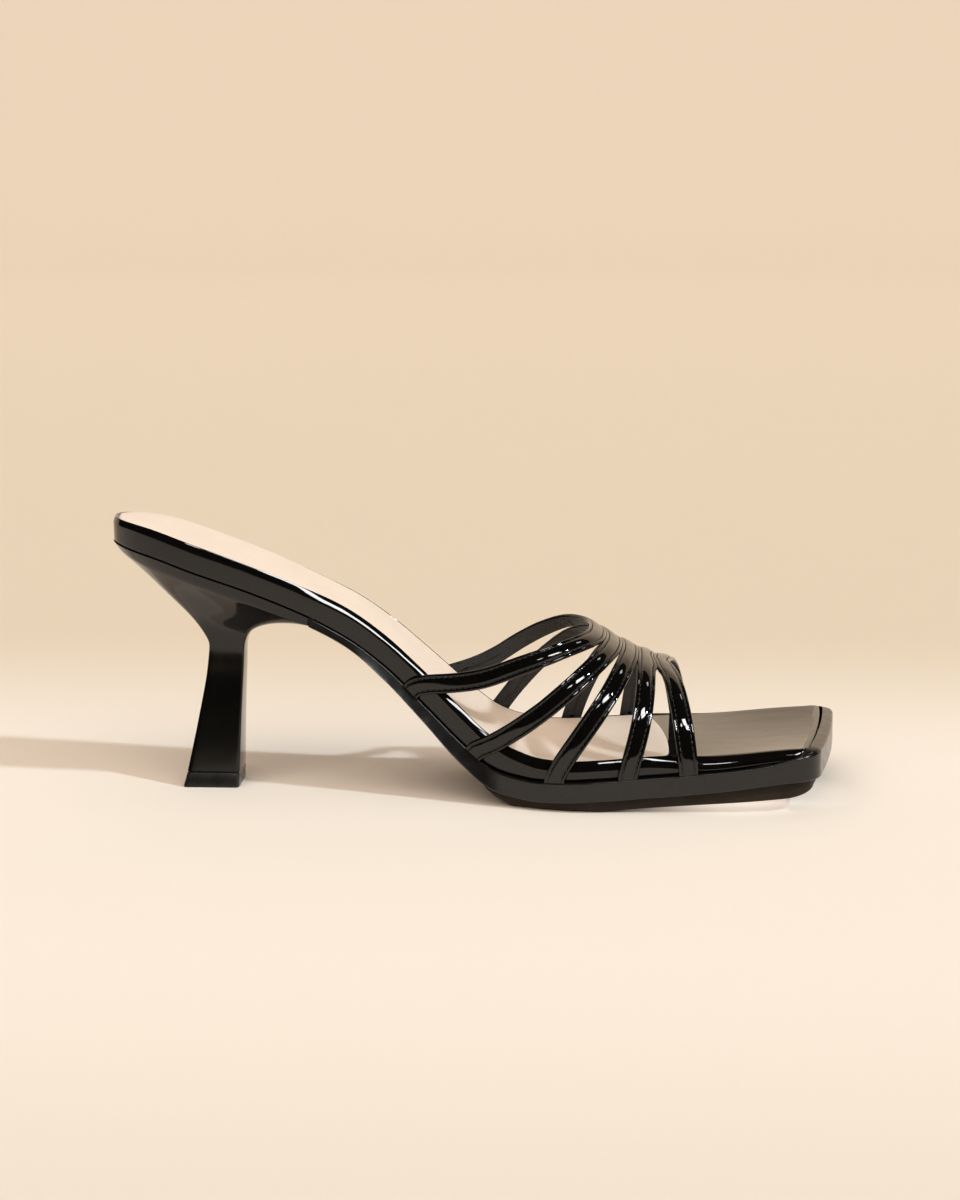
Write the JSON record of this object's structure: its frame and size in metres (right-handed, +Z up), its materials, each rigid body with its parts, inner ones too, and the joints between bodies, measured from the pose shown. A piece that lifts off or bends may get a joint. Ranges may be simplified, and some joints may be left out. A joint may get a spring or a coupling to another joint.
{
  "type": "heeled mule",
  "caption": "Right-foot square-toe mule: patent straps fan from the vamp over a pale sock and a wrapped footbed, on a sole with a toe lip and a slim flared heel.",
  "frame": {"origin": "bottom centre of the shoe's box, on the floor that the top lift and the tread stand on", "axes": "+X from the heel to the toe, -Y to the lateral (outer) side of this right shoe, +Z up"},
  "size_m": [0.233, 0.0816, 0.0882],
  "materials": {
    "footbed_patent": "patent gloss",
    "sock_lining": "matt, fine grain",
    "sole_satin": "satin",
    "tread_rubber": "matt",
    "heel_gloss": "gloss",
    "top_lift_plastic": "satin",
    "black_patent": "patent gloss"
  },
  "bodies": {
    "root": {"footbed": "footbed_patent", "sock": "sock_lining", "sole": "sole_satin", "tread": "tread_rubber", "heel": "heel_gloss", "top_lift": "top_lift_plastic", "upper": "black_patent"}
  },
  "joints": []
}
